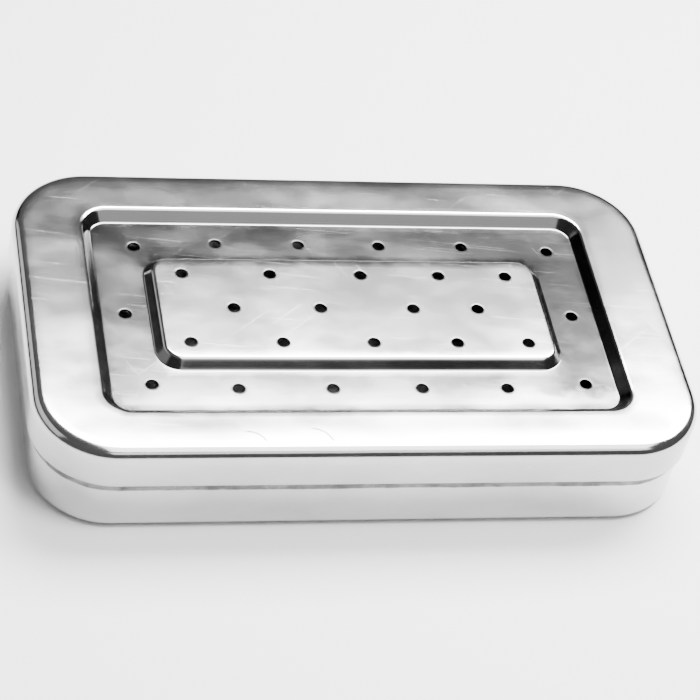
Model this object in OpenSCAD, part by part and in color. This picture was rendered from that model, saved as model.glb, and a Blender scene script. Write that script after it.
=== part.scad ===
// Perforated instrument cassette: a shallow tray with a lift-off lid,
// both pressed from one sheet of stainless steel.
// Lengths are in millimetres. The middle of the tray's underside is the
// origin, the long way is X and up is Z.

/* [Body] */

// Length over the lid skirt
box_length = 180; // [150:1:240]
// Width over the lid skirt
box_width = 105; // [90:1:140]
// Height from the tray's underside to the lid's rim
box_height = 30; // [22:1:60]
// Radius of the upright corners, over the skirt
corner_r = 21.5; // [14:0.5:28]
// Thickness of the steel sheet
sheet = 0.8; // [0.5:0.1:1]

/* [Tray] */

// Bend between the tray's floor and its wall, outside
floor_bend = 3; // [1.5:0.25:5]

/* [Lid] */

// Height of the skirt that drops over the tray
skirt_h = 12.5; // [6:0.5:15]
// Bend between the lid's rim and its skirt, outside
edge_bend = 3.2; // [2.4:0.1:4.5]
// Gap between the skirt and the tray's wall, all round
skirt_gap = 0.3; // [0.15:0.05:0.6]

/* [Pressed steps] */

// Flat rim at each end, from the skirt to the outer step
rim_end = 17.8; // [14:0.2:22]
// Flat rim along each side, from the skirt to the outer step
rim_side = 14; // [12:0.5:18]
// Corner radius of the outer step, at the rim
outer_corner = 8.2; // [5.5:0.1:12]
// How wide the outer step is on the way down
outer_run = 3.8; // [3.4:0.1:4.8]
// How deep the band lies below the rim
outer_drop = 3; // [1.4:0.1:3.6]
// Width of the sunken band at each end
band_end = 12.2; // [9:0.2:14]
// Width of the sunken band along each side
band_side = 13.6; // [9:0.2:15]
// Corner radius of the inner step, at the band
inner_corner = 7.4; // [4.5:0.1:9]
// How wide the inner step is on the way up
inner_run = 3; // [2.8:0.1:4]
// How high the middle panel stands above the band
inner_rise = 2.7; // [1.2:0.1:2.9]
// Bends at the top and the foot of both steps, outside
step_bend = 1.3; // [1.1:0.1:1.6]

/* [Perforation] */

// Diameter of every steam hole
hole_d = 3.3; // [2:0.1:4.5]
// Holes in the band's back row, as parts of half its length
band_back = [-0.92, -0.555, -0.18, 0.19, 0.575, 0.975];
// Holes in the band's front row
band_front = [-0.93, -0.565, -0.16, 0.23, 0.61, 0.97];
// Distance from the foot of the outer step to the band's long rows
band_edge = 7.6; // [5:0.1:9]
// How far in from its row the first and last hole of a long row lies
band_end_in = 1.5; // [0:0.1:3]
// Holes in the panel's back row, as parts of half its length
panel_back = [-0.87, -0.41, 0.07, 0.49, 0.855];
// Holes in the panel's middle row
panel_middle = [-0.63, -0.18, 0.31, 0.655];
// Holes in the panel's front row
panel_front = [-0.88, -0.41, 0.06, 0.5, 0.88];
// Distance from the panel's edge to its outer rows of holes
panel_edge = 4.9; // [3.4:0.1:6.5]

/* [Hidden] */

$fn = 48;
bend_fn = 32;
hole_fn = 24;
cut = 0.5;

// Flat strip that each bend carries, how far a flat laps onto it, and
// how far the strip itself runs onto the bend of a step
strip = 1;
lap = strip / 2;
seam = 0.02;

// Half sizes of each outline, from the skirt inwards
half_l = box_length / 2;
half_w = box_width / 2;
tray_in = sheet + skirt_gap;
outer_x = half_l - rim_end;
outer_y = half_w - rim_side;
foot_x = outer_x - outer_run;
foot_y = outer_y - outer_run;
rise_x = foot_x - band_end;
rise_y = foot_y - band_side;
panel_x = rise_x - inner_run;
panel_y = rise_y - inner_run;

// Heights of the upper faces
rim_z = box_height;
band_z = rim_z - outer_drop;
panel_z = band_z + inner_rise;

// Rows of holes
band_row_x = (foot_x + rise_x) / 2;
band_row_y = foot_y - band_edge;
panel_row_y = panel_y - panel_edge;

// An outline with rounded corners, given by its half sizes
module outline(hx, hy, r) {
    square([2 * (hx - r), 2 * hy], center = true);
    square([2 * hx, 2 * (hy - r)], center = true);
    for (sx = [-1, 1], sy = [-1, 1])
        translate([sx * (hx - r), sy * (hy - r)])
            circle(r = r);
}

// A flat sheet with rounded corners whose upper face is at z
module sheet_plate(hx, hy, r, z) {
    translate([0, 0, z - sheet])
        linear_extrude(height = sheet)
            outline(hx, hy, r);
}

// A flat frame of sheet between two outlines
module sheet_frame(hx, hy, r, ix, iy, ir, z) {
    translate([0, 0, z - sheet])
        linear_extrude(height = sheet)
            difference() {
                outline(hx, hy, r);
                outline(ix, iy, ir);
            }
}

// Carries a section right round an outline: its X runs outwards from
// the outline and its Y runs up
module round_sweep(hx, hy, r) {
    for (q = [0 : 3]) {
        cx = (q % 2 == 0 ? hx : hy) - r;
        cy = (q % 2 == 0 ? hy : hx) - r;
        rotate([0, 0, 90 * q])
            translate([cx, cy, 0]) {
                rotate_extrude(angle = 90)
                    translate([r, 0])
                        children();
                rotate([90, 0, 0])
                    linear_extrude(height = 2 * cy)
                        translate([r, 0])
                            children();
            }
    }
}

// A bent strip of sheet: middle radius r, from angle a to angle b
module bend(r, a, b) {
    reach = 2 * (r + sheet);
    m = (a + b) / 2;
    intersection() {
        difference() {
            circle(r = r + sheet / 2, $fn = bend_fn);
            circle(r = r - sheet / 2, $fn = bend_fn);
        }
        polygon([
            [0, 0],
            [reach * cos(a), reach * sin(a)],
            [reach * cos(m), reach * sin(m)],
            [reach * cos(b), reach * sin(b)]
        ]);
    }
}

// A flat strip in a section, from x inwards, whose upper face is at z
module flat_strip(x, z, wide = strip) {
    translate([x - wide, z - sheet])
        square([wide, sheet]);
}

// The curve of a step in a section: two equal bends of middle radius r
// and the straight wall between them, drawn along the wall and turned
// to its slope. It starts above the origin and falls inwards.
module step_curve(run, drop) {
    r = step_bend - sheet / 2;
    low = drop - 2 * r;
    slope = atan2(low, run) + asin(2 * r / norm([run, low]));
    wall = sqrt(run * run + low * low - 4 * r * r);
    rotate([0, 0, slope]) {
        bend(r, 90 - slope, 90);
        translate([-wall, r - sheet / 2])
            square([wall, sheet]);
        translate([-wall, 2 * r])
            bend(r, 270 - slope, 270);
    }
}

// A step that leaves a flat at z and goes inwards and down by drop
module step_down(run, drop, z) {
    translate([0, z - step_bend])
        step_curve(run, drop);
    flat_strip(strip, z, strip + seam);
    flat_strip(seam - run, z - drop, strip + seam);
}

// The same step where it goes inwards and up by rise
module step_up(run, rise, z) {
    translate([0, z - sheet + step_bend])
        mirror([0, 1, 0])
            step_curve(run, rise);
    flat_strip(strip, z, strip + seam);
    flat_strip(seam - run, z + rise, strip + seam);
}

// Skirt and edge bend of the lid
module skirt_section() {
    translate([-sheet, rim_z - skirt_h])
        square([sheet, skirt_h - edge_bend]);
    translate([-edge_bend, rim_z - edge_bend])
        bend(edge_bend - sheet / 2, 0, 90);
    flat_strip(-edge_bend, rim_z);
}

// Wall and floor bend of the tray: the top edge is rounded over to sit
// in the hollow of the lid's edge bend
module wall_section() {
    seat_r = edge_bend - sheet;
    seat_x = tray_in - edge_bend;
    seat_z = rim_z - edge_bend;
    translate([-sheet, floor_bend])
        square([sheet, seat_z - floor_bend]);
    intersection() {
        translate([-sheet, seat_z])
            square([sheet, edge_bend]);
        translate([seat_x, seat_z])
            circle(r = seat_r, $fn = bend_fn);
    }
    translate([-floor_bend, floor_bend])
        bend(floor_bend - sheet / 2, 270, 360);
    flat_strip(-floor_bend, sheet);
}

// One row of holes along X, through a sheet whose upper face is at z:
// the first and the last hole lie end_in nearer the middle of the lid
module hole_row(places, reach, y, z, end_in = 0) {
    last = len(places) - 1;
    for (k = [0 : last]) {
        in = k == 0 || k == last ? end_in * sign(y) : 0;
        translate([places[k] * reach, y - in, z - sheet - cut])
            cylinder(d = hole_d, h = sheet + 2 * cut, $fn = hole_fn);
    }
}

module base() {
    tray_x = half_l - tray_in;
    tray_y = half_w - tray_in;
    tray_r = corner_r - tray_in;
    color([0.72, 0.73, 0.73]) {
        round_sweep(tray_x, tray_y, tray_r)
            wall_section();
        sheet_plate(
            tray_x - floor_bend - lap,
            tray_y - floor_bend - lap,
            tray_r - floor_bend - lap,
            sheet
        );
    }
}

module rim() {
    round_sweep(half_l, half_w, corner_r)
        skirt_section();
    sheet_frame(
        half_l - edge_bend - lap,
        half_w - edge_bend - lap,
        corner_r - edge_bend - lap,
        outer_x + lap,
        outer_y + lap,
        outer_corner + lap,
        rim_z
    );
}

module sunken_band() {
    round_sweep(outer_x, outer_y, outer_corner)
        step_down(outer_run, outer_drop, rim_z);
    difference() {
        sheet_frame(
            foot_x - lap,
            foot_y - lap,
            outer_corner - outer_run - lap,
            rise_x + lap,
            rise_y + lap,
            inner_corner + lap,
            band_z
        );
        hole_row(band_back, band_row_x, band_row_y, band_z, band_end_in);
        hole_row(band_front, band_row_x, -band_row_y, band_z, band_end_in);
        hole_row([-1, 1], band_row_x, 0, band_z);
    }
}

module middle_panel() {
    round_sweep(rise_x, rise_y, inner_corner)
        step_up(inner_run, inner_rise, band_z);
    difference() {
        sheet_plate(
            panel_x - lap,
            panel_y - lap,
            inner_corner - inner_run - lap,
            panel_z
        );
        hole_row(panel_back, panel_x, panel_row_y, panel_z);
        hole_row(panel_middle, panel_x, 0, panel_z);
        hole_row(panel_front, panel_x, -panel_row_y, panel_z);
    }
}

module lid() {
    color([0.8, 0.81, 0.81]) {
        rim();
        sunken_band();
        middle_panel();
    }
}

base();
lid();
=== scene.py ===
"""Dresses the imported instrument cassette: a pressed steel tray and its perforated lid.

Lengths inside the classes are millimetres, as on a workshop drawing; meshes and
lights are handed to Blender in metres.
"""

from __future__ import annotations

import logging
import math
from dataclasses import dataclass, field
from enum import Enum
from typing import Any, Callable, Iterable, Sequence

import bmesh
import bpy
from mathutils import Matrix, Vector, noise
from mathutils.geometry import delaunay_2d_cdt

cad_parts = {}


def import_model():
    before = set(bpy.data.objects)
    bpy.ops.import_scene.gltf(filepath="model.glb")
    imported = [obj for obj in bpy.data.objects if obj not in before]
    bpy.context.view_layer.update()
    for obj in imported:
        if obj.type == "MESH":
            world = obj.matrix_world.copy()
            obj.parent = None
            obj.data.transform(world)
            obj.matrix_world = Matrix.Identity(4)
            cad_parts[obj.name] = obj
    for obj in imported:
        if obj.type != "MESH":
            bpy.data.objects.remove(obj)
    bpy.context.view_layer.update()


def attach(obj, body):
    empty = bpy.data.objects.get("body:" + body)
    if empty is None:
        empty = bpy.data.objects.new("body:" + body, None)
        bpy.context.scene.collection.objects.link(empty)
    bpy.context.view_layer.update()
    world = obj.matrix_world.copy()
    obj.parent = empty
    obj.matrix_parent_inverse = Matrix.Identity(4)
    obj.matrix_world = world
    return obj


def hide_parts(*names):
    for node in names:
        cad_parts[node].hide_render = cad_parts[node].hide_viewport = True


LOG = logging.getLogger("cassette")
MM = 0.001

# Inputs and output of Blender's Mix node where it mixes colours
MIX_LOW, MIX_HIGH, MIX_RESULT = 6, 7, 2

Point2 = tuple[float, float]
Point3 = tuple[float, float, float]
Colour = tuple[float, float, float]
CurvePoint = tuple[float, float, float, float]


class Sock:
    """One output socket of a shader graph, usable in Python expressions."""

    def __init__(self, graph: "Graph", socket: bpy.types.NodeSocket) -> None:
        """Keep the graph and the socket together.

        Args:
            graph: The graph that new nodes are added to.
            socket: The output socket that holds the value.
        """
        self.graph = graph
        self.socket = socket

    def _math(self, operation: str, *values: Any) -> "Sock":
        """Add one Math node.

        Args:
            operation: The node's operation.
            *values: Numbers or sockets for its inputs, in order.

        Returns:
            The node's value.
        """
        return self.graph.node(
            "ShaderNodeMath", {"operation": operation}, dict(enumerate(values))
        )

    def __add__(self, other: Any) -> "Sock":
        """Sum."""
        return self._math("ADD", self, other)

    def __radd__(self, other: Any) -> "Sock":
        """Sum, reflected."""
        return self._math("ADD", other, self)

    def __sub__(self, other: Any) -> "Sock":
        """Difference."""
        return self._math("SUBTRACT", self, other)

    def __rsub__(self, other: Any) -> "Sock":
        """Difference, reflected."""
        return self._math("SUBTRACT", other, self)

    def __mul__(self, other: Any) -> "Sock":
        """Product."""
        return self._math("MULTIPLY", self, other)

    def __rmul__(self, other: Any) -> "Sock":
        """Product, reflected."""
        return self._math("MULTIPLY", other, self)

    def __pow__(self, other: Any) -> "Sock":
        """Power."""
        return self._math("POWER", self, other)

    def __abs__(self) -> "Sock":
        """Size without its sign."""
        return self._math("ABSOLUTE", self)

    def output(self, number: int) -> "Sock":
        """Another output of the same node."""
        return Sock(self.graph, self.socket.node.outputs[number])

    def least(self, other: Any) -> "Sock":
        """Smaller of two values."""
        return self._math("MINIMUM", self, other)

    def ease(self, low: float, high: float) -> "Sock":
        """Map low..high to 0..1 with soft ends.

        Args:
            low: Value that gives 0.
            high: Value that gives 1; it may lie below low.

        Returns:
            The eased value, clamped.
        """
        flip = high < low
        lo, hi = (high, low) if flip else (low, high)
        eased = self.graph.node(
            "ShaderNodeMapRange",
            {"interpolation_type": "SMOOTHSTEP"},
            {"Value": self, "From Min": lo, "From Max": hi},
        )
        return 1.0 - eased if flip else eased


class Graph:
    """A material's or world's node tree, built call by call."""

    def __init__(self, tree: bpy.types.NodeTree) -> None:
        """Start from an empty tree.

        Args:
            tree: The node tree to fill.
        """
        self.tree = tree
        tree.nodes.clear()

    def plug(self, target: bpy.types.NodeSocket, value: Any) -> None:
        """Set or link one input socket.

        Args:
            target: The input socket.
            value: A number, a tuple or a Sock.
        """
        if isinstance(value, Sock):
            self.tree.links.new(value.socket, target)
        elif isinstance(value, tuple) and target.type == "RGBA" and len(value) == 3:
            target.default_value = (*value, 1.0)
        else:
            target.default_value = value

    def node(
        self,
        kind: str,
        settings: dict[str, Any] | None = None,
        inputs: dict[str | int, Any] | None = None,
        out: str | int = 0,
    ) -> Sock | None:
        """Add any node.

        Args:
            kind: Blender's node type.
            settings: Attributes set before the sockets.
            inputs: Values or links by socket name or number.
            out: The output that is handed back.

        Returns:
            The chosen output, or None from a node that ends a graph.
        """
        made = self.tree.nodes.new(kind)
        for name, value in (settings or {}).items():
            setattr(made, name, value)
        for name, value in (inputs or {}).items():
            self.plug(made.inputs[name], value)
        return Sock(self, made.outputs[out]) if made.outputs else None

    def place(self) -> Sock:
        """Where a point lies on the object, in millimetres."""
        where = self.node("ShaderNodeTexCoord", out="Object")
        return self.vector("SCALE", where, Scale=1.0 / MM)

    def vector(self, operation: str, *values: Any, **named: Any) -> Sock:
        """Add one Vector Math node.

        Args:
            operation: The node's operation.
            *values: Vectors for its inputs, in order.
            **named: Further inputs by socket name.

        Returns:
            The vector it gives.
        """
        inputs = {**dict(enumerate(values)), **named}
        return self.node("ShaderNodeVectorMath", {"operation": operation}, inputs)

    def split(self, vector: Sock) -> tuple[Sock, Sock, Sock]:
        """Take a vector apart.

        Args:
            vector: The vector.

        Returns:
            Its X, Y and Z.
        """
        x = self.node("ShaderNodeSeparateXYZ", None, {"Vector": vector})
        return x, x.output(1), x.output(2)

    def cloud(self, where: Sock, stretch: Point3, detail: float, rough: float) -> Sock:
        """Noise of a chosen size in each direction.

        Args:
            where: The place in millimetres.
            stretch: Size of one cloud along X, Y and Z, in millimetres.
            detail: How many finer layers ride on it.
            rough: How strong the finer layers are.

        Returns:
            A value round 0.5.
        """
        scaled = self.vector("DIVIDE", where, stretch)
        return self.node(
            "ShaderNodeTexNoise",
            {"noise_dimensions": "3D"},
            {"Vector": scaled, "Scale": 1.0, "Detail": detail, "Roughness": rough},
        )

    def mix_colour(self, factor: Any, low: Any, high: Any) -> Sock:
        """Blend two colours.

        Args:
            factor: 0 for low, 1 for high.
            low: Colour or socket.
            high: Colour or socket.

        Returns:
            The blended colour.
        """
        return self.node(
            "ShaderNodeMix",
            {"data_type": "RGBA"},
            {"Factor": factor, MIX_LOW: low, MIX_HIGH: high},
            MIX_RESULT,
        )

    def mask(self, name: str) -> Sock:
        """Value of a mesh attribute, from 0 to 1."""
        return self.node("ShaderNodeAttribute", {"attribute_name": name}, out="Fac")


class Grain(Enum):
    """Which way the polishing lines run: a line's length along X, Y and Z."""

    LONG = (60.0, 0.16, 0.16)
    UPRIGHT = (0.16, 0.16, 60.0)


@dataclass(frozen=True)
class Mottle:
    """Soft noise: a cloud's size in millimetres, its finer layers, the span used."""

    size: Point3
    detail: float
    rough: float
    low: float
    high: float

    def draw(self, g: Graph, where: Sock) -> Sock:
        """Lay the noise: 0 at the low end of the span, 1 at its high end."""
        clouds = g.cloud(where, self.size, self.detail, self.rough)
        return clouds.ease(self.low, self.high)


@dataclass(frozen=True)
class Coat:
    """A colour laid over the steel, and how much of it a full mask lays."""

    colour: Colour
    share: float = 1.0

    def over(self, g: Graph, tone: Sock, mask: Any) -> Sock:
        """Lay the coat over the tone where the mask is."""
        return g.mix_colour(mask * self.share, tone, self.colour)


@dataclass(frozen=True)
class Relief:
    """How strongly a height is felt, and how deep it is in metres."""

    strength: float
    depth: float

    def bump(self, g: Graph, height: Sock, under: Sock | None = None) -> Sock:
        """Tilt the surface's normal by a height.

        Args:
            g: The material's graph.
            height: The height, from 0 to 1.
            under: The normal of a finer relief, or None.

        Returns:
            The normal.
        """
        inputs: dict[str | int, Any] = {
            "Strength": self.strength,
            "Distance": self.depth,
            "Height": height,
        }
        if under is not None:
            inputs["Normal"] = under
        return g.node("ShaderNodeBump", None, inputs)


@dataclass(frozen=True)
class WearAndHighlight:
    """What varies over the steel: the place, and masks from 0 to 1; bends also carries
    the painted highlight on the bends.
    """

    where: Sock
    blotch: Sock
    haze: Sock
    lines: Sock
    scratch: Sock
    bends: Sock
    holes: Sock


@dataclass(frozen=True)
class HairScratches:
    """Straight hair scratches in a few directions.

    Each way is a turn in radians and the height above which the noise is a
    scratch; size is that of one hair, in millimetres.
    """

    ways: tuple[Point2, ...] = ((0.12, 0.735), (1.1, 0.755), (-0.7, 0.75))
    size: Point3 = (34.0, 0.22, 2.0)
    detail: float = 1.0
    rough: float = 0.5
    edge: float = 0.03

    def draw(self, g: Graph, where: Sock) -> Sock:
        """Draw the scratches.

        Args:
            g: The material's graph.
            where: The place in millimetres.

        Returns:
            1 on a scratch, 0 beside it.
        """
        total: Any = 0.0
        for turn, cut in self.ways:
            turned = g.node(
                "ShaderNodeVectorRotate",
                {"rotation_type": "Z_AXIS"},
                {"Vector": where, "Angle": turn},
            )
            hair = g.cloud(turned, self.size, self.detail, self.rough)
            total = hair.ease(cut, cut + self.edge) + total
        return total.least(1.0)


@dataclass(frozen=True)
class CurvedScratch:
    """A short curved scratch: its centre, radius and the turn to its middle.

    The line fades out between the two distances of fade, and ends between the
    two parts of its radius, both measured on the way into the scratch.
    """

    x: float
    y: float
    radius: float
    turn: float
    fade: Point2 = (0.3, 0.12)
    ends: Point2 = (0.74, 0.82)

    def draw(self, g: Graph, where: Sock) -> Sock:
        """Draw the scratch.

        Args:
            g: The material's graph.
            where: The place in millimetres.

        Returns:
            1 on the scratch, 0 beside it.
        """
        across, along, _ = g.split(g.vector("SUBTRACT", where, (self.x, self.y, 0.0)))
        off = abs((across * across + along * along) ** 0.5 - self.radius)
        side = across * math.cos(self.turn) + along * math.sin(self.turn)
        outside, inside = (self.radius * part for part in self.ends)
        return off.ease(*self.fade) * side.ease(outside, inside)


@dataclass(frozen=True)
class SkirtShadowLine:
    """A painted shadow line under the lid's skirt edge: a level band of shade between
    two heights.
    """

    low: float
    high: float
    fade_below: float = 0.6
    fade_above: float = 0.3
    waver: float = 0.3
    even: float = 0.55
    patches: float = 0.3

    def draw(self, g: Graph, wear_and_highlight: WearAndHighlight) -> Sock:
        """Draw the line.

        Args:
            g: The material's graph.
            wear_and_highlight: The masks, of which haze and lines break the line up.

        Returns:
            1 on the line, 0 beside it.
        """
        _, _, up = g.split(wear_and_highlight.where)
        height = up + (wear_and_highlight.haze - 0.5) * self.waver
        line = height.ease(self.low - self.fade_below, self.low)
        line = line * height.ease(self.high + self.fade_above, self.high)
        return line * (self.even + wear_and_highlight.haze * self.patches + wear_and_highlight.lines * self.patches)


@dataclass(frozen=True)
class BandPaintedShade:
    """Painted shade on the sunken band: more behind its front, most in its right arm.

    The spans are millimetres from where a part begins to where it is full.
    """

    even: float = 0.45
    blotch: float = 0.15
    back: float = 0.3
    back_y: Point2 = (-30.0, -23.0)
    back_waver: float = 6.0
    arm: float = 0.3
    arm_x: Point2 = (30.0, 60.0)
    arm_y: Point2 = (27.0, 20.0)

    def draw(self, g: Graph, wear_and_highlight: WearAndHighlight) -> Sock:
        """Paint shade on the band.

        Args:
            g: The material's graph.
            wear_and_highlight: The masks, of which haze and blotches vary the shade.

        Returns:
            How much painted shade each place gets.
        """
        x, y, _ = g.split(wear_and_highlight.where)
        arm = x.ease(*self.arm_x) * y.ease(*self.arm_y)
        back = (y + wear_and_highlight.haze * self.back_waver).ease(*self.back_y)
        back = back * (self.back + arm * self.arm)
        return g.mask("sunk") * (self.even + back - wear_and_highlight.blotch * self.blotch)


@dataclass(frozen=True)
class SatinSteel:
    """Pressed stainless steel, satin polished and lightly worn, with a painted highlight
    on its bends and painted shade on its walls and sunken band, and where given a
    painted shadow line under the lid's skirt edge.
    """

    name: str
    grain: Grain = Grain.LONG
    grain_detail: float = 3.0
    grain_rough: float = 0.65
    blotch: Mottle = Mottle((26.0, 17.0, 17.0), 3.0, 0.55, 0.34, 0.68)
    haze: Mottle = Mottle((7.0, 5.0, 5.0), 4.0, 0.6, 0.3, 0.75)
    specks: Mottle = Mottle((0.45, 0.45, 0.45), 2.0, 0.7, 0.66, 0.78)
    scratches: HairScratches = HairScratches()
    arcs: tuple[CurvedScratch, ...] = ()
    skirt_shadow: SkirtShadowLine | None = None
    band: BandPaintedShade = BandPaintedShade()

    bright: Colour = (0.84, 0.84, 0.83)
    dull: Colour = (0.66, 0.66, 0.66)
    # Colour of the polished scratches and of the painted highlight on bends
    polish_and_highlight: Colour = (0.93, 0.93, 0.92)
    blotch_light: float = 0.6
    lines_light: float = 0.25
    scratch_light: float = 0.35
    # Strength of the painted highlight on bends
    bend_highlight: float = 0.25
    speck_dirt: float = 0.18
    haze_dirt: float = 0.12
    # Painted shade on the step walls, the lid's skirt and the tray's outer wall
    wall_painted_shade: Coat = Coat((0.08, 0.08, 0.08), 0.9)
    # Painted shade on the sunken band
    band_painted_shade: Coat = Coat((0.12, 0.12, 0.12))
    dirt_coat: Coat = Coat((0.3, 0.29, 0.28), 0.5)
    hole_coat: Coat = Coat((0.1, 0.1, 0.1), 0.85)
    arc_coat: Coat = Coat((0.05, 0.05, 0.05), 0.85)
    # Painted shadow line under the lid's skirt edge
    skirt_shadow_coat: Coat = Coat((0.06, 0.06, 0.06))

    rough_low: float = 0.12
    rough_high: float = 0.21
    blotch_rough: float = 0.5
    haze_rough: float = 0.3
    lines_rough: float = 0.2
    scratch_rough: float = 0.06
    hole_rough: float = 0.08
    bend_smooth: float = 0.04
    skirt_shadow_rough: float = 0.15

    grain_depth: float = 0.1
    scratch_depth: float = 0.12
    fine: Relief = Relief(0.18, 0.00012)
    swell: Relief = Relief(0.06, 0.0016)
    swell_size: Point3 = (19.0, 15.0, 15.0)
    swell_detail: float = 1.0
    swell_rough: float = 0.4

    def material(self) -> bpy.types.Material:
        """Build the finish.

        Returns:
            The node material.
        """
        made = bpy.data.materials.new(self.name)
        made.use_nodes = True
        g = Graph(made.node_tree)
        where = g.place()
        wear_and_highlight = WearAndHighlight(
            where=where,
            blotch=self.blotch.draw(g, where),
            haze=self.haze.draw(g, where),
            lines=g.cloud(
                where, self.grain.value, self.grain_detail, self.grain_rough
            ),
            scratch=self.scratches.draw(g, where),
            bends=g.mask("bend"),
            holes=g.mask("hole"),
        )
        skirt_shadow = self.skirt_shadow.draw(g, wear_and_highlight) if self.skirt_shadow else None
        steel = g.node(
            "ShaderNodeBsdfPrincipled",
            None,
            {
                "Base Color": self._tone(g, wear_and_highlight, skirt_shadow),
                "Metallic": 1.0,
                "Roughness": self._roughness(wear_and_highlight, skirt_shadow),
                "Normal": self._normal(g, wear_and_highlight),
            },
        )
        g.node("ShaderNodeOutputMaterial", None, {"Surface": steel})
        return made

    def _tone(self, g: Graph, wear_and_highlight: WearAndHighlight, skirt_shadow: Sock | None) -> Sock:
        """Lay the colours, from the bare steel up.

        Args:
            g: The material's graph.
            wear_and_highlight: The masks.
            skirt_shadow: The painted shadow line's mask, or None.

        Returns:
            The colour.
        """
        bare = wear_and_highlight.blotch * self.blotch_light + wear_and_highlight.lines * self.lines_light
        tone = g.mix_colour(bare, self.dull, self.bright)
        # Polished scratches, and a painted highlight on the bends
        scratch_and_bend_highlight = wear_and_highlight.scratch * self.scratch_light + wear_and_highlight.bends * self.bend_highlight
        tone = g.mix_colour(scratch_and_bend_highlight, tone, self.polish_and_highlight)
        # Painted shade on the walls
        tone = self.wall_painted_shade.over(g, tone, g.mask("wall"))
        # Painted shade on the sunken band
        tone = self.band_painted_shade.over(g, tone, self.band.draw(g, wear_and_highlight))
        specks = self.specks.draw(g, wear_and_highlight.where)
        dirt = (specks * self.speck_dirt + wear_and_highlight.haze * self.haze_dirt).least(1.0)
        tone = self.dirt_coat.over(g, tone, dirt)
        tone = self.hole_coat.over(g, tone, wear_and_highlight.holes)
        curved: Any = 0.0
        for scratch in self.arcs:
            curved = scratch.draw(g, wear_and_highlight.where) + curved
        tone = self.arc_coat.over(g, tone, curved)
        # Painted shadow line under the lid's skirt edge, laid last
        return tone if skirt_shadow is None else self.skirt_shadow_coat.over(g, tone, skirt_shadow)

    def _roughness(self, wear_and_highlight: WearAndHighlight, skirt_shadow: Sock | None) -> Sock:
        """Work out how rough each place is.

        Args:
            wear_and_highlight: The masks.
            skirt_shadow: The painted shadow line's mask, or None.

        Returns:
            The roughness.
        """
        vary = wear_and_highlight.blotch * self.blotch_rough + wear_and_highlight.haze * self.haze_rough
        vary = vary + wear_and_highlight.lines * self.lines_rough
        rough = self.rough_low + (self.rough_high - self.rough_low) * vary
        rough = rough + wear_and_highlight.scratch * self.scratch_rough
        rough = rough + wear_and_highlight.holes * self.hole_rough - wear_and_highlight.bends * self.bend_smooth
        return rough if skirt_shadow is None else rough + skirt_shadow * self.skirt_shadow_rough

    def _normal(self, g: Graph, wear_and_highlight: WearAndHighlight) -> Sock:
        """Put the fine relief and the sheet's soft swell on the surface.

        Args:
            g: The material's graph.
            wear_and_highlight: The masks.

        Returns:
            The normal.
        """
        height = (wear_and_highlight.lines - 0.5) * self.grain_depth
        height = height + wear_and_highlight.scratch * (-self.scratch_depth)
        swell = g.cloud(
            wear_and_highlight.where, self.swell_size, self.swell_detail, self.swell_rough
        )
        return self.swell.bump(g, swell, self.fine.bump(g, height))


@dataclass(frozen=True)
class PaleFloor:
    """Matt near-white studio floor."""

    name: str = "studio_floor"
    shade: Colour = (0.83, 0.83, 0.83)
    rough: float = 0.9

    def material(self) -> bpy.types.Material:
        """Build the finish.

        Returns:
            The node material.
        """
        made = bpy.data.materials.new(self.name)
        made.use_nodes = True
        g = Graph(made.node_tree)
        paper = g.node(
            "ShaderNodeBsdfPrincipled",
            None,
            {"Base Color": self.shade, "Roughness": self.rough},
        )
        g.node("ShaderNodeOutputMaterial", None, {"Surface": paper})
        return made


@dataclass(frozen=True)
class Outline:
    """A rectangle with rounded corners, seen from above."""

    half_x: float
    half_y: float
    radius: float

    def inset(self, depth: float) -> "Outline":
        """The same outline moved inwards by depth, corners kept concentric."""
        return Outline(self.half_x - depth, self.half_y - depth, self.radius - depth)

    def ring(self, corner: int, long: int, short: int) -> list[Point2]:
        """Sample the outline anticlockwise.

        Args:
            corner: Steps round each corner.
            long: Steps along each X side.
            short: Steps along each Y side.

        Returns:
            The points, the same count for every outline.
        """
        flat_x, flat_y = self.half_x - self.radius, self.half_y - self.radius
        centres = [(1, 1), (-1, 1), (-1, -1), (1, -1)]
        points: list[Point2] = []
        for q, (sx, sy) in enumerate(centres):
            cx, cy = sx * flat_x, sy * flat_y
            for i in range(corner + 1):
                a = math.radians(90 * (q + i / corner))
                points.append(
                    (cx + self.radius * math.cos(a), cy + self.radius * math.sin(a))
                )
            x0, y0 = points[-1]
            steps = long if q % 2 == 0 else short
            nx, ny = centres[(q + 1) % 4]
            b = math.radians(90 * (q + 1))
            x1 = nx * flat_x + self.radius * math.cos(b)
            y1 = ny * flat_y + self.radius * math.sin(b)
            for i in range(1, steps):
                t = i / steps
                points.append((x0 + (x1 - x0) * t, y0 + (y1 - y0) * t))
        return points

    def holds(self, x: float, y: float) -> bool:
        """Tell whether a point lies inside the outline.

        Args:
            x: Place along X.
            y: Place along Y.

        Returns:
            True inside.
        """
        dx = max(abs(x) - (self.half_x - self.radius), 0.0)
        dy = max(abs(y) - (self.half_y - self.radius), 0.0)
        return math.hypot(dx, dy) < self.radius


@dataclass(frozen=True)
class Station:
    """One line of a section: its outline, how far inside it, its height, its masks."""

    outline: Outline
    inwards: float
    height: float
    bend: float = 0.0
    wall: float = 0.0
    sunk: float = 0.0


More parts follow.
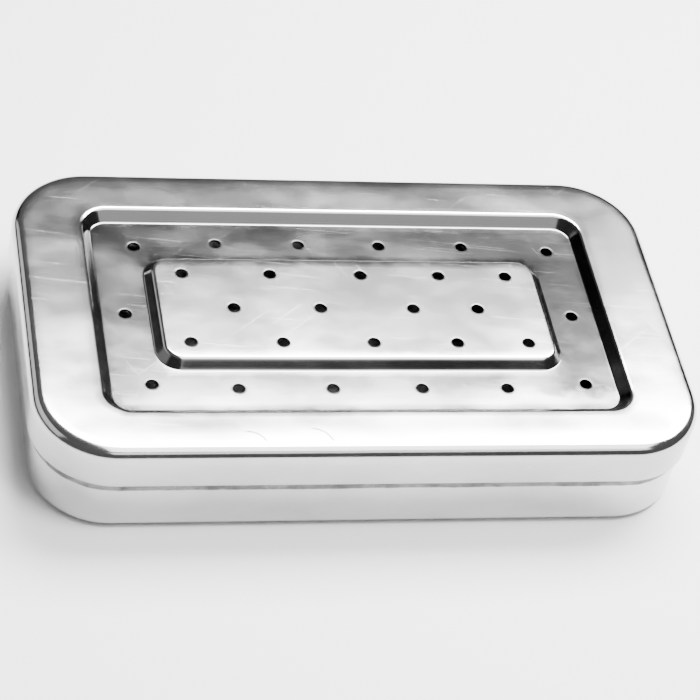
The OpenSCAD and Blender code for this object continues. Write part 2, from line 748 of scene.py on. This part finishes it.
@dataclass
class SheetMesh:
    """Collects rings, flats and holes of a pressed sheet and welds them.

    The inner points of a flat keep off its outlines by edge_keep and off its
    holes by hole_keep; hole_rings are the rings of points round each hole, as
    how far outside it and their turn in steps.
    """

    corner: int = 16
    long: int = 46
    short: int = 22
    edge_keep: float = 1.1
    hole_keep: float = 1.9
    hole_rings: tuple[Point2, ...] = ((0.45, 0.5), (1.1, 0.0))
    hole_fade: float = 1.0
    inside_hole: float = 0.985
    same_point: float = 1e-7
    weld: float = 2e-6
    spots: list[Point3] = field(default_factory=list)
    faces: list[tuple[int, ...]] = field(default_factory=list)
    bend: list[float] = field(default_factory=list)
    hole: list[float] = field(default_factory=list)
    wall: list[float] = field(default_factory=list)
    sunk: list[float] = field(default_factory=list)

    def _add(
        self,
        points: Iterable[Point3],
        bend: float = 0.0,
        hole: float = 0.0,
        wall: float = 0.0,
        sunk: float = 0.0,
    ) -> list[int]:
        """Store points.

        Args:
            points: The points, in millimetres.
            bend: Their bend mask.
            hole: Their hole mask.
            wall: Their mask as part of a step's wall.
            sunk: Their mask as part of a sunken flat.

        Returns:
            Their numbers.
        """
        first = len(self.spots)
        self.spots.extend(points)
        count = len(self.spots) - first
        self.bend.extend([bend] * count)
        self.hole.extend([hole] * count)
        self.wall.extend([wall] * count)
        self.sunk.extend([sunk] * count)
        return list(range(first, first + count))

    def _join(self, one: Sequence[int], two: Sequence[int]) -> None:
        """Close the strip between two rings of equal count.

        Args:
            one: The first ring's points.
            two: The second ring's points.
        """
        n = len(one)
        for i in range(n):
            j = (i + 1) % n
            self.faces.append((one[i], one[j], two[j], two[i]))

    def ring(self, s: Station) -> list[Point3]:
        """Points of a station all round."""
        flat = s.outline.inset(s.inwards).ring(self.corner, self.long, self.short)
        return [(x, y, s.height) for x, y in flat]

    def loft(self, stations: Sequence[Station]) -> None:
        """Skin a run of stations.

        Args:
            stations: The section's lines, in order along the sheet.
        """
        last: list[int] = []
        for s in stations:
            now = self._add(self.ring(s), s.bend, 0.0, s.wall, s.sunk)
            if last:
                self._join(last, now)
            last = now

    def flat(
        self,
        outer: Outline,
        inner: Outline | None,
        holes: Sequence[Point2],
        radius: float,
        height: float,
        spacing: float = 2.3,
        sunk: float = 0.0,
    ) -> None:
        """Fill a flat between two outlines, leaving round holes open.

        Args:
            outer: Outer outline.
            inner: Inner outline, or None where the flat is whole.
            holes: Hole centres.
            radius: Radius left open.
            height: Height of the flat.
            spacing: Distance between the inner points.
            sunk: Its mask as a sunken flat.
        """
        loops = [outer.ring(self.corner, self.long, self.short)]
        if inner:
            loops.append(inner.ring(self.corner, self.long, self.short))
        loops += [circle(hx, hy, radius) for hx, hy in holes]
        points = [Vector(p) for loop in loops for p in loop]
        edges: list[tuple[int, int]] = []
        start = 0
        for loop in loops:
            n = len(loop)
            edges += [(start + i, start + (i + 1) % n) for i in range(n)]
            start += n
        points += self._fill(outer, inner, holes, radius, spacing)
        made, _, tris, *_ = delaunay_2d_cdt(points, edges, [], 0, self.same_point)
        first = len(self.spots)
        for p in made:
            away = nearest(p.x, p.y, holes) - radius
            mark = max(0.0, 1.0 - away / self.hole_fade)
            self._add([(p.x, p.y, height)], hole=min(1.0, mark), sunk=sunk)
        for tri in tris:
            x = sum(made[k].x for k in tri) / len(tri)
            y = sum(made[k].y for k in tri) / len(tri)
            if inner and inner.holds(x, y):
                continue
            if nearest(x, y, holes) < radius * self.inside_hole:
                continue
            self.faces.append(tuple(first + k for k in tri))

    def _fill(
        self,
        outer: Outline,
        inner: Outline | None,
        holes: Sequence[Point2],
        radius: float,
        spacing: float,
    ) -> list[Vector]:
        """Scatter the points that lie inside a flat.

        Args:
            outer: Outer outline.
            inner: Inner outline, or None where the flat is whole.
            holes: Hole centres.
            radius: Radius left open.
            spacing: Distance between the points.

        Returns:
            Rings round the holes, then a staggered grid.
        """
        points: list[Vector] = []
        for hx, hy in holes:
            for grow, turn in self.hole_rings:
                points += [Vector(p) for p in circle(hx, hy, radius + grow, turn)]
        safe_out = outer.inset(self.edge_keep)
        safe_in = inner.inset(-self.edge_keep) if inner else None
        nx = int(2 * outer.half_x / spacing)
        ny = int(2 * outer.half_y / spacing)
        for i in range(nx + 1):
            for j in range(ny + 1):
                x = -outer.half_x + 2 * outer.half_x * (i + 0.5 * (j % 2)) / nx
                y = -outer.half_y + 2 * outer.half_y * j / ny
                if not safe_out.holds(x, y) or (safe_in and safe_in.holds(x, y)):
                    continue
                if nearest(x, y, holes) < radius + self.hole_keep:
                    continue
                points.append(Vector((x, y)))
        return points

    def bore(
        self, hx: float, hy: float, rings: Sequence[Point2], sunk: float
    ) -> None:
        """Skin one hole from face to face.

        Args:
            hx: Centre along X.
            hy: Centre along Y.
            rings: Radius and height of each ring, in order through the sheet.
            sunk: Its mask as part of a sunken flat.
        """
        last: list[int] = []
        for radius, height in rings:
            points = [(x, y, height) for x, y in circle(hx, hy, radius)]
            now = self._add(points, hole=1.0, sunk=sunk)
            if last:
                self._join(last, now)
            last = now

    def finish(
        self, name: str, sag: Callable[[float, float], float] | None = None
    ) -> bpy.types.Object:
        """Weld everything into one smooth closed mesh.

        Args:
            name: The object's name.
            sag: How far down a place is pressed, or None where all is true.

        Returns:
            The new object.
        """
        mesh = bpy.data.meshes.new(name)
        moved = [
            (x * MM, y * MM, (z - (sag(x, y) if sag else 0.0)) * MM)
            for x, y, z in self.spots
        ]
        mesh.from_pydata(moved, [], self.faces)
        masks = {
            "bend": self.bend,
            "hole": self.hole,
            "wall": self.wall,
            "sunk": self.sunk,
        }
        for mask, values in masks.items():
            layer = mesh.attributes.new(mask, "FLOAT", "POINT")
            layer.data.foreach_set("value", values)
        made = bpy.data.objects.new(name, mesh)
        bpy.context.scene.collection.objects.link(made)
        work = bmesh.new()
        work.from_mesh(mesh)
        bmesh.ops.remove_doubles(work, verts=work.verts, dist=self.weld)
        bmesh.ops.recalc_face_normals(work, faces=work.faces)
        open_edges = sum(1 for e in work.edges if not e.is_manifold)
        for f in work.faces:
            f.smooth = True
        work.to_mesh(mesh)
        work.free()
        LOG.info("%s: %d faces, %d open edges", name, len(mesh.polygons), open_edges)
        return made


def parts(whole: float, steps: int) -> list[float]:
    """Split 0..whole evenly, both ends included."""
    return [whole * k / steps for k in range(steps + 1)]


def nearest(x: float, y: float, holes: Sequence[Point2]) -> float:
    """Distance to the nearest hole's centre, endless where there is none."""
    return min((math.hypot(x - a, y - b) for a, b in holes), default=math.inf)


def circle(
    x: float, y: float, radius: float, turn: float = 0.0, steps: int = 28
) -> list[Point2]:
    """Points of a circle.

    Args:
        x: Centre along X.
        y: Centre along Y.
        radius: Radius.
        turn: Turn of the first point, in steps.
        steps: Number of points.

    Returns:
        The points, anticlockwise.
    """
    return [
        (
            x + radius * math.cos(2 * math.pi * (i + turn) / steps),
            y + radius * math.sin(2 * math.pi * (i + turn) / steps),
        )
        for i in range(steps)
    ]


def arc(
    cx: float, cz: float, radius: float, start: float, end: float, steps: int
) -> list[Point2]:
    """Points of an arc in a section.

    Args:
        cx: Centre, outwards.
        cz: Centre, up.
        radius: Radius.
        start: First angle in degrees.
        end: Last angle in degrees.
        steps: Number of steps.

    Returns:
        The points, both ends included.
    """
    points = []
    for i in range(steps + 1):
        a = math.radians(start + (end - start) * i / steps)
        points.append((cx + radius * math.cos(a), cz + radius * math.sin(a)))
    return points


@dataclass
class Tray:
    """The lower pan: floor, floor bend and upright wall.

    The seat is the hollow of the lid's edge bend, in which the rounded top
    edge rests; lip_inside and lip_outside are the two faces' last lines below
    it, as how far from the face and how far under the seat.
    """

    outside: Outline = Outline(88.9, 51.4, 20.4)
    sheet: float = 0.8
    floor_bend: float = 3.0
    floor_spacing: float = 4.0
    seat_offset: float = -2.1
    seat_height: float = 26.8
    seat_radius: float = 2.4
    seat_gap: float = 0.03
    lip_in: float = 0.1
    lip_out: float = 0.14
    lip_inside: tuple[Point2, ...] = ((0.0, 0.14), (0.05, 0.03))
    lip_outside: tuple[Point2, ...] = ((0.05, 0.1), (0.0, 0.28))
    bend_steps_in: int = 9
    bend_steps_out: int = 12
    wall_steps: int = 8
    lip_steps: int = 4
    # Painted highlight on the floor bend and the top lip, painted shade on the wall's
    # outer face
    bend_mask: float = 0.5
    wall_mask: float = 0.3

    def _seat(self, inwards: float) -> float:
        """Work out the height of the rounded top edge.

        Args:
            inwards: Distance inside the wall's outer face.

        Returns:
            The height there.
        """
        across = -inwards - self.seat_offset
        up = math.sqrt(self.seat_radius**2 - across**2)
        return self.seat_height + up - self.seat_gap

    def _stations(self) -> list[Station]:
        """Run the section from the floor's upper face over the wall to its underside.

        Returns:
            The stations in order.
        """
        out, b, t = self.outside, self.floor_bend, self.sheet
        rise = self._seat(t) - b
        wall = [b + rise * k / self.wall_steps for k in range(1, self.wall_steps)]
        top_in, top_out = self._seat(t - self.lip_in), self._seat(self.lip_out)
        run = [
            Station(out, -x, z, self.bend_mask)
            for x, z in arc(-b, b, b - t, 270, 360, self.bend_steps_in)
        ]
        run += [Station(out, t, z) for z in wall]
        run += [Station(out, t - x, top_in - z, 1.0) for x, z in self.lip_inside]
        for k in range(1, self.lip_steps + 1):
            x = t - self.lip_in - (t - 2 * self.lip_out) * k / self.lip_steps
            run.append(Station(out, x, self._seat(x), 1.0))
        run += [Station(out, x, top_out - z, 1.0) for x, z in self.lip_outside]
        run += [Station(out, 0.0, z, wall=self.wall_mask) for z in reversed(wall[:-1])]
        run += [
            Station(out, -x, z, self.bend_mask, self.wall_mask)
            for x, z in arc(-b, b, b, 360, 270, self.bend_steps_out)
        ]
        return run

    def build(self, finish: SatinSteel) -> bpy.types.Object:
        """Make and dress the tray.

        Args:
            finish: Its steel.

        Returns:
            The tray's object.
        """
        mesh = SheetMesh()
        mesh.loft(self._stations())
        floor = self.outside.inset(self.floor_bend)
        for height in (self.sheet, 0.0):
            mesh.flat(floor, None, [], 0.0, height, self.floor_spacing)
        made = mesh.finish("tray_pan")
        made.data.materials.append(finish.material())
        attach(made, "tray")
        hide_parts("base")
        return made


@dataclass(frozen=True)
class Sag:
    """How low the press left a flat: softly uneven, and nothing near the edge.

    It starts at keep from the lid's edge and is full after fade more. Each
    wave has a height, a length, a width and a place of its own in the noise.
    """

    mean: float = 0.12
    keep: float = 6.0
    fade: float = 9.0
    waves: tuple[tuple[float, float, float, float], ...] = (
        (0.07, 31.0, 22.0, 3.7),
        (0.02, 13.0, 10.0, 9.1),
    )

    def depth(self, edge: float, x: float, y: float) -> float:
        """Work out the depth at one place.

        Args:
            edge: Distance from the lid's edge.
            x: Place along the lid.
            y: Place across the lid.

        Returns:
            Millimetres downwards.
        """
        hold = min(1.0, max(0.0, (edge - self.keep) / self.fade))
        hold = hold * hold * (3 - 2 * hold)
        low = self.mean
        for height, long, wide, seed in self.waves:
            low += height * noise.noise(Vector((x / long, y / wide, seed)))
        return hold * low


@dataclass
class Lid:
    """The lift-off lid: skirt, rim, sunken band and raised panel.

    The bend mask says how polished a part is and how much painted highlight it gets; the
    wall mask says how much painted shade it gets.
    The hole's profile runs through the sheet: how much wider than the hole,
    and how far from the upper face or above the lower one.
    """

    outside: Outline = Outline(90.0, 52.5, 21.5)
    outer_step: Outline = Outline(72.2, 38.5, 8.2)
    inner_step: Outline = Outline(56.2, 21.1, 7.4)
    sheet: float = 0.8
    top: float = 30.0
    skirt: float = 12.5
    burr: float = 0.25
    edge_bend: float = 3.2
    step_bend: float = 1.6
    outer_run: float = 3.8
    outer_drop: float = 3.0
    inner_run: float = 3.4
    inner_rise: float = 2.7
    sag: Sag = Sag()
    hole_radius: float = 1.65
    hole_open: float = 0.2
    hole_above: tuple[Point2, ...] = ((0.2, 0.0), (0.06, 0.02), (0.0, 0.1))
    hole_below: tuple[Point2, ...] = ((0.0, 0.12), (0.05, 0.03), (0.2, 0.0))
    band_edge: float = 7.6
    band_end_in: float = 1.5
    panel_edge: float = 4.9
    band_back: tuple[float, ...] = (-0.92, -0.555, -0.18, 0.19, 0.575, 0.975)
    band_front: tuple[float, ...] = (-0.93, -0.565, -0.16, 0.23, 0.61, 0.97)
    panel_back: tuple[float, ...] = (-0.87, -0.41, 0.07, 0.49, 0.855)
    panel_middle: tuple[float, ...] = (-0.63, -0.18, 0.31, 0.655)
    panel_front: tuple[float, ...] = (-0.88, -0.41, 0.06, 0.5, 0.88)
    step_steps: int = 7
    rim_steps: int = 7
    edge_steps_out: int = 12
    edge_steps_in: int = 9
    skirt_steps: int = 5
    burr_steps: int = 4
    # The edge, inside and wall-polish values set the painted highlight on bends; the
    # skirt and burr values set painted shade on the skirt
    edge_mask: float = 0.7
    inside_mask: float = 0.5
    skirt_mask: float = 0.5
    burr_mask: float = 0.6
    wall_polish_and_highlight: float = 0.3
    wall_sharp: float = 3.0
    sunk_fade: float = 0.5

    @property
    def foot(self) -> Outline:
        """Where the outer step meets the band."""
        return self.outer_step.inset(self.outer_run)

    @property
    def panel(self) -> Outline:
        """Where the inner step meets the panel."""
        return self.inner_step.inset(self.inner_run)

    @property
    def band_top(self) -> float:
        """Height of the band's upper face."""
        return self.top - self.outer_drop

    @property
    def panel_top(self) -> float:
        """Height of the panel's upper face."""
        return self.band_top + self.inner_rise

    def _curve(self, run: float, drop: float, z: float, up: bool) -> list[CurvePoint]:
        """Double curve of a step, as middle points with their normals.

        Args:
            run: Width of the step.
            drop: Height of the step.
            z: Upper face where it starts.
            up: Whether it climbs on its way inwards.

        Returns:
            Each point's inwards, height, normal outwards and normal up.
        """
        r = self.step_bend - self.sheet / 2
        low = drop - 2 * r
        slope = math.atan2(low, run) + math.asin(2 * r / math.hypot(run, low))
        mid = z - self.sheet / 2
        sign = 1.0 if up else -1.0
        first = [
            (r * math.sin(a), r * (1 - math.cos(a)), a)
            for a in parts(slope, self.step_steps)
        ]
        second = [(run - x, drop - dz, a) for x, dz, a in reversed(first)]
        (x0, z0, _), (x1, z1, _) = first[-1], second[0]
        wall = [
            (x0 + (x1 - x0) * t, z0 + (z1 - z0) * t, slope) for t in (0.25, 0.5, 0.75)
        ]
        return [
            (x, mid + sign * dz, sign * math.sin(a), math.cos(a))
            for x, dz, a in first + wall + second
        ]

    def _step(
        self, outline: Outline, curve: Sequence[CurvePoint], upper: bool
    ) -> list[Station]:
        """Run one face of a step.

        Args:
            outline: Where the step starts.
            curve: Its middle points with normals.
            upper: The upper face, or else the lower one.

        Returns:
            The stations on the way inwards.
        """
        side = self.sheet / 2 * (1 if upper else -1)
        steepest = max(abs(nx) for _, _, nx, _ in curve)
        sharp, polish_and_highlight = self.wall_sharp, self.wall_polish_and_highlight
        run = []
        for x, z, nx, nz in curve:
            # wall: painted shade on the step's wall; bend: painted highlight on its
            # bends; sunk: the band's painted shade reaching up the step
            wall = max(0.0, abs(nx) / steepest * sharp - (sharp - 1))
            bend = polish_and_highlight + (1 - polish_and_highlight) * (1 - wall)
            height = z + nz * side
            above = height - self.band_top + (0.0 if upper else self.sheet)
            sunk = max(0.0, 1.0 - above / self.sunk_fade)
            run.append(Station(outline, x - nx * side, height, bend, wall, sunk))
        return run

    def _rim_flat(self, z: float) -> list[Station]:
        """Run the rim's flat from the edge bend to the outer step.

        Args:
            z: Height of the flat.

        Returns:
            The stations between the two, on the way inwards.
        """
        start, end = self.outside.inset(self.edge_bend), self.outer_step
        run = []
        for k in range(1, self.rim_steps):
            t = k / self.rim_steps
            mixed = Outline(
                start.half_x + (end.half_x - start.half_x) * t,
                start.half_y + (end.half_y - start.half_y) * t,
                start.radius + (end.radius - start.radius) * t,
            )
            run.append(Station(mixed, 0.0, z))
        return run

    def _shell(self) -> list[Station]:
        """Run the section from the band over rim and skirt and back underneath.

        Returns:
            The stations in order.
        """
        out, t, b, burr = self.outside, self.sheet, self.edge_bend, self.burr
        low, bend_z = self.top - self.skirt, self.top - b
        curve = self._curve(self.outer_run, self.outer_drop, self.top, False)
        run = list(reversed(self._step(self.outer_step, curve, True)))
        run += list(reversed(self._rim_flat(self.top)))
        # Painted highlight on the edge bend, with painted shade growing down onto the
        # skirt
        run += [
            Station(out, -x, z, self.edge_mask, self.skirt_mask * (1 + x / b) ** 2)
            for x, z in arc(-b, bend_z, b, 90, 0, self.edge_steps_out)
        ]
        drop = low + 2 * burr - bend_z
        fall = [bend_z + part for part in parts(drop, self.skirt_steps)[1:]]
        run += [Station(out, 0.0, z, wall=self.skirt_mask) for z in fall]
        run += [
            Station(out, -x, z, 1.0, self.burr_mask)
            for x, z in arc(-burr, low + burr, burr, 0, -90, self.burr_steps)
        ]
        run += [
            Station(out, -x, z, 1.0)
            for x, z in arc(-t + burr, low + burr, burr, -90, -180, self.burr_steps)
        ]
        run += [Station(out, t, z) for z in reversed(fall)]
        run += [
            Station(out, -x, z, self.inside_mask)
            for x, z in arc(-b, bend_z, b - t, 0, 90, self.edge_steps_in)
        ]
        run += self._rim_flat(self.top - t)
        run += self._step(self.outer_step, curve, False)
        return run

    def _row(
        self, places: Sequence[float], reach: float, y: float, end_in: float = 0.0
    ) -> list[Point2]:
        """Hole centres of one row.

        Args:
            places: Places along the row, as parts of its reach.
            reach: Half the row's length.
            y: Place of the row.
            end_in: How far nearer the middle its first and last hole lie.

        Returns:
            The centres.
        """
        last = len(places) - 1
        shift = math.copysign(end_in, y)
        return [
            (p * reach, y - (shift if k in (0, last) else 0.0))
            for k, p in enumerate(places)
        ]

    def _band_holes(self) -> list[Point2]:
        """Centres of the band's holes.

        Returns:
            The back row, the front row and the two ends.
        """
        x = (self.foot.half_x + self.inner_step.half_x) / 2
        y, end_in = self.foot.half_y - self.band_edge, self.band_end_in
        return (
            self._row(self.band_back, x, y, end_in)
            + self._row(self.band_front, x, -y, end_in)
            + self._row((-1.0, 1.0), x, 0.0)
        )

    def _panel_holes(self) -> list[Point2]:
        """Centres of the panel's holes.

        Returns:
            The back row, the middle row and the front row.
        """
        x, y = self.panel.half_x, self.panel.half_y - self.panel_edge
        return (
            self._row(self.panel_back, x, y)
            + self._row(self.panel_middle, x, 0.0)
            + self._row(self.panel_front, x, -y)
        )

    def _pierce(
        self, mesh: SheetMesh, holes: Sequence[Point2], z: float, sunk: float
    ) -> None:
        """Skin every hole of a flat.

        Args:
            mesh: The lid's mesh.
            holes: Hole centres.
            z: The flat's upper face.
            sunk: Its mask as a sunken flat.
        """
        r, t = self.hole_radius, self.sheet
        rings = [(r + wider, z - under) for wider, under in self.hole_above]
        rings += [(r + wider, z - t + above) for wider, above in self.hole_below]
        for hx, hy in holes:
            mesh.bore(hx, hy, rings, sunk)

    def _pressed(self, x: float, y: float) -> float:
        """How far the press left a place of the lid low, in millimetres."""
        edge = min(self.outside.half_x - abs(x), self.outside.half_y - abs(y))
        return self.sag.depth(edge, x, y)

    def build(self, finish: SatinSteel) -> bpy.types.Object:
        """Make and dress the lid.

        Args:
            finish: Its steel.

        Returns:
            The lid's object.
        """
        mesh = SheetMesh()
        mesh.loft(self._shell())
        rise = self._curve(self.inner_run, self.inner_rise, self.band_top, True)
        for upper in (True, False):
            mesh.loft(self._step(self.inner_step, rise, upper))
        band, panel = self._band_holes(), self._panel_holes()
        open_r = self.hole_radius + self.hole_open
        for drop in (0.0, self.sheet):
            z = self.band_top - drop
            mesh.flat(self.foot, self.inner_step, band, open_r, z, sunk=1.0)
            mesh.flat(self.panel, None, panel, open_r, self.panel_top - drop)
        self._pierce(mesh, band, self.band_top, 1.0)
        self._pierce(mesh, panel, self.panel_top, 0.0)
        made = mesh.finish("lid_cover", self._pressed)
        made.data.materials.append(finish.material())
        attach(made, "cover")
        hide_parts("lid")
        return made


@dataclass(frozen=True)
class SoftBox:
    """A flat soft light in metres; glow is its brightness as a mirror shows it."""

    name: str
    place: Point3
    size: Point2
    glow: float
    aim: Point3 = (0.0, 0.0, 0.02)
    turn: float = 0.0
    mirrored: bool = True

    def build(self) -> None:
        """Hang the light, turned about its own axis by turn degrees."""
        data = bpy.data.lights.new(self.name, "AREA")
        data.shape = "RECTANGLE"
        data.size, data.size_y = self.size
        data.energy = self.glow * math.pi * self.size[0] * self.size[1]
        lamp = bpy.data.objects.new(self.name, data)
        way = Vector(self.aim) - Vector(self.place)
        level = way.to_track_quat("-Z", "Y").to_matrix()
        spin = Matrix.Rotation(math.radians(self.turn), 3, "Z")
        lamp.matrix_world = Matrix.Translation(self.place) @ (level @ spin).to_4x4()
        lamp.visible_glossy = self.mirrored
        lamp.visible_camera = False
        bpy.context.scene.collection.objects.link(lamp)


@dataclass(frozen=True)
class Surround:
    """The grey round the studio: dark low down at the back, to either side.

    The spans are parts of the direction's X, Y and Z, from where the dark
    notch or the brighter front begins to where it is full.
    """

    dark: float = 0.003
    soft: float = 0.09
    front: float = 0.04
    notch_x: Point2 = (0.25, 0.5)
    notch_y: Point2 = (0.3, 0.6)
    notch_z: Point2 = (0.5, 0.3)
    front_y: Point2 = (0.25, -0.75)

    def build(self) -> None:
        """Set the surround."""
        world = bpy.data.worlds.new("studio_surround")
        world.use_nodes = True
        bpy.context.scene.world = world
        g = Graph(world.node_tree)
        x, y, z = g.split(g.node("ShaderNodeTexCoord", out="Generated"))
        notch = y.ease(*self.notch_y) * z.ease(*self.notch_z)
        notch = notch * abs(x).ease(*self.notch_x)
        level = self.dark + self.soft * (1 - notch) + self.front * y.ease(*self.front_y)
        glow = g.node(
            "ShaderNodeBackground",
            None,
            {"Color": (1.0, 1.0, 1.0), "Strength": level},
        )
        g.node("ShaderNodeOutputWorld", None, {"Surface": glow})


@dataclass
class Studio:
    """Pale floor, soft lights and a grey surround, in metres."""

    floor_half: float = 3.0
    floor_drop: float = 0.0002
    surround: Surround = Surround()
    boxes: tuple[SoftBox, ...] = (
        SoftBox(
            "key_box",
            (0.21, 0.189, 0.496),
            (0.57, 0.29),
            34.0,
            aim=(0.089, -0.153, 0.151),
            turn=16.0,
        ),
        SoftBox(
            "fill_box",
            (0.187, 0.282, 0.411),
            (0.5, 0.19),
            1.2,
            aim=(0.066, -0.06, 0.067),
            turn=20.0,
        ),
        SoftBox(
            "right_box",
            (0.3, 0.262, 0.393),
            (0.2, 0.2),
            1.3,
            aim=(0.179, -0.08, 0.049),
        ),
        SoftBox(
            "left_card",
            (-0.25, 0.075, 0.135),
            (0.35, 0.13),
            0.9,
            aim=(0.0, 0.075, 0.135),
        ),
        SoftBox("front_box", (0.29, -0.82, 0.85), (0.9, 0.32), 2.2),
        SoftBox("top_box", (0.25, -0.14, 0.9), (0.7, 0.9), 5.0, aim=(0.25, -0.14, 0.0)),
        SoftBox("floor_wash", (0.5, -0.35, 2.4), (0.6, 0.6), 60.0, mirrored=False),
    )

    def _lay_floor(self) -> None:
        """Lay the floor a hair under the tray."""
        h = self.floor_half
        mesh = bpy.data.meshes.new("studio_floor")
        corners = [(-h, -h, 0.0), (h, -h, 0.0), (h, h, 0.0), (-h, h, 0.0)]
        mesh.from_pydata(corners, [], [(0, 1, 2, 3)])
        mesh.materials.append(PaleFloor().material())
        floor = bpy.data.objects.new("studio_floor", mesh)
        floor.location.z = -self.floor_drop
        bpy.context.scene.collection.objects.link(floor)

    def build(self) -> None:
        """Lay the floor, hang the lights and set the surround."""
        self._lay_floor()
        for box in self.boxes:
            box.build()
        self.surround.build()


@dataclass(frozen=True)
class PhotoCamera:
    """The photograph's viewpoint in metres; the picture is 700 by 700."""

    place: Point3 = (-0.1645, -0.4672, 0.5005)
    azimuth: float = -19.572
    elevation: float = 44.504
    roll: float = 14.148
    focal_px: float = 2528.2
    frame_px: float = 700.0
    sensor: float = 36.0
    clip: Point2 = (0.01, 20.0)

    def build(self) -> bpy.types.Object:
        """Set up the camera.

        Returns:
            The camera's object.
        """
        el, az, ro = (
            math.radians(v) for v in (self.elevation, self.azimuth, self.roll)
        )
        back = Vector(
            (math.sin(az) * math.cos(el), -math.cos(az) * math.cos(el), math.sin(el))
        )
        right = (-back).cross(Vector((0, 0, 1))).normalized()
        down = (-back).cross(right)
        turned_right = right * math.cos(ro) - down * math.sin(ro)
        turned_down = right * math.sin(ro) + down * math.cos(ro)
        data = bpy.data.cameras.new("photo_camera")
        data.sensor_width = self.sensor
        data.lens = self.focal_px / self.frame_px * self.sensor
        data.clip_start, data.clip_end = self.clip
        made = bpy.data.objects.new("photo_camera", data)
        turn = Matrix((turned_right, -turned_down, back)).transposed()
        made.matrix_world = Matrix.Translation(Vector(self.place)) @ turn.to_4x4()
        bpy.context.scene.collection.objects.link(made)
        bpy.context.scene.camera = made
        return made


def main() -> None:
    """Load the frame, dress the two pieces and light them."""
    logging.basicConfig(level=logging.INFO, format="%(name)s %(message)s")
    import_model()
    # Painted shadow line on the tray's wall just under the lid's skirt edge; it shows on
    # the wall's inner face too
    skirt_shadow = SkirtShadowLine(15.0, 17.4)
    Tray().build(SatinSteel("tray_satin_steel", grain=Grain.UPRIGHT, skirt_shadow=skirt_shadow))
    LOG.info("tray dressed")
    arcs = (
        CurvedScratch(-19.3, -49.6, 5.6, 0.85),
        CurvedScratch(-36.0, -49.9, 4.9, 0.95),
    )
    Lid().build(SatinSteel("lid_satin_steel", arcs=arcs))
    LOG.info("lid dressed")
    Studio().build()
    PhotoCamera().build()
    LOG.info("studio lit, camera set")


if __name__ == "__main__":
    main()
